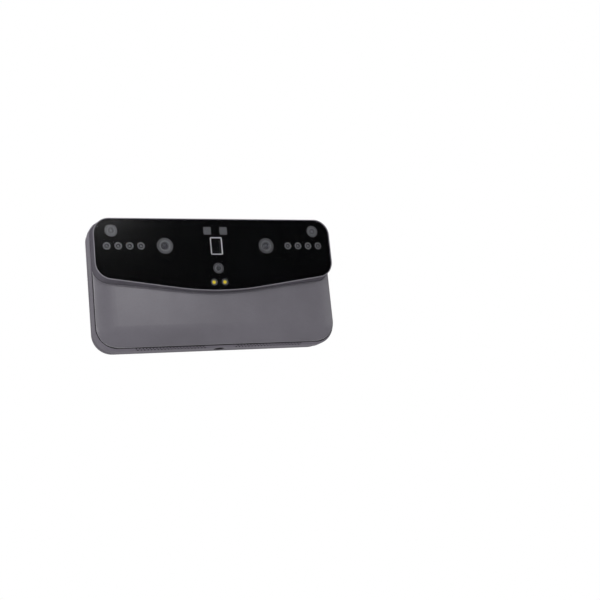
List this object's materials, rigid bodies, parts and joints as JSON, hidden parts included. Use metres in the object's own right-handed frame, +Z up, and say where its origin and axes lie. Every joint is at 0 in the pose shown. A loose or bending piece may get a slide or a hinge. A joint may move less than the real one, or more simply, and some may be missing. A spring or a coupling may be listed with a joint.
{
  "type": "handheld three-d scanner",
  "caption": "Handheld three-d scanner with a touch screen on one side, a glazed optical head over a crowned grip on the other, a base tripod socket, vents, a side key and a USB port.",
  "frame": {"origin": "middle of the base, at the bottom of the bounding box", "axes": "+Z up, X along the width, the screen faces +Y and the scanning head faces -Y"},
  "size_m": [0.177, 0.033, 0.0926],
  "materials": {
    "frame_metal": "bead-blasted, gunmetal anodised",
    "housing_plastic": "fine satin moulding",
    "cover_plastic": "fine satin moulding",
    "head_plastic": "fine satin moulding",
    "key_plastic": "fine satin moulding",
    "screen_glass": "polished black-backed glass",
    "window_glass": "polished tinted glass",
    "lens_glass": "coated lens",
    "mask_black": "black print",
    "display_black": "dark panel",
    "gasket_rubber": "soft black",
    "plate_metal": "plain stamped",
    "bench_metal": "black anodised",
    "sink_metal": "plain extruded",
    "screw_steel": "zinc plated",
    "socket_steel": "drawn shell",
    "bush_steel": "turned",
    "mesh_steel": "blackened mesh",
    "board_green": "solder mask",
    "battery_film": "foil pouch in black film",
    "pad_grey": "soft grey pad",
    "fan_plastic": "black moulding",
    "switch_plastic": "black moulding",
    "barrel_black": "black anodised barrel",
    "trim_silver": "bright satin trim",
    "lamp_dark": "dark filter with a bright rim",
    "laser_silver": "grey module face",
    "flash_white": "white body with a yellow core"
  },
  "bodies": {
    "scanner": {"bench_screws": "screw_steel", "board_screws": "screw_steel", "board_standoffs": "screw_steel", "display_panel": "display_black", "fan_housing": "fan_plastic", "fan_lid": "plate_metal", "flash_board": "board_green", "flash_lamps": "flash_white", "front_frame": "frame_metal", "heat_sink": "sink_metal", "key_switch": "switch_plastic", "laser_board": "board_green", "left_battery": "battery_film", "left_camera_board": "board_green", "left_camera_body": "barrel_black", "left_camera_lens": "lens_glass", "left_corner_lamp": "lamp_dark", "left_lamp_board": "board_green", "left_lamp_row": "lamp_dark", "left_laser_module": "laser_silver", "main_board": "board_green", "mid_housing": "housing_plastic", "mid_plate": "plate_metal", "optical_bench": "bench_metal", "plate_screws": "screw_steel", "projector_body": "barrel_black", "projector_trim": "trim_silver", "projector_window": "lens_glass", "rear_grip_cover": "cover_plastic", "right_battery": "battery_film", "right_camera_board": "board_green", "right_camera_body": "barrel_black", "right_camera_lens": "lens_glass", "right_corner_lamp": "lamp_dark", "right_lamp_board": "board_green", "right_lamp_row": "lamp_dark", "right_laser_module": "laser_silver", "scan_head_shell": "head_plastic", "scan_window": "window_glass", "screen_gasket": "gasket_rubber", "screen_glass": "screen_glass", "texture_camera_board": "board_green", "texture_camera_body": "barrel_black", "texture_camera_lens": "lens_glass", "thermal_pad": "pad_grey", "tripod_bush": "bush_steel", "usb_receptacle": "socket_steel", "vent_mesh": "mesh_steel", "window_gasket": "gasket_rubber", "window_mask": "mask_black"},
    "key": {"side_key": "key_plastic"},
    "rotor": {"fan_rotor": "fan_plastic"}
  },
  "joints": [
    {"name": "side_key_press", "type": "slide", "parent": "scanner", "child": "key", "axis": [1, 0, 0], "range_m": [0, 0.0004], "stiffness_N_per_m": 4000},
    {"name": "fan_spin", "type": "hinge", "parent": "scanner", "child": "rotor", "pos_m": [0.036, 0, 0.034], "axis": [0, -1, 0], "continuous": true}
  ]
}
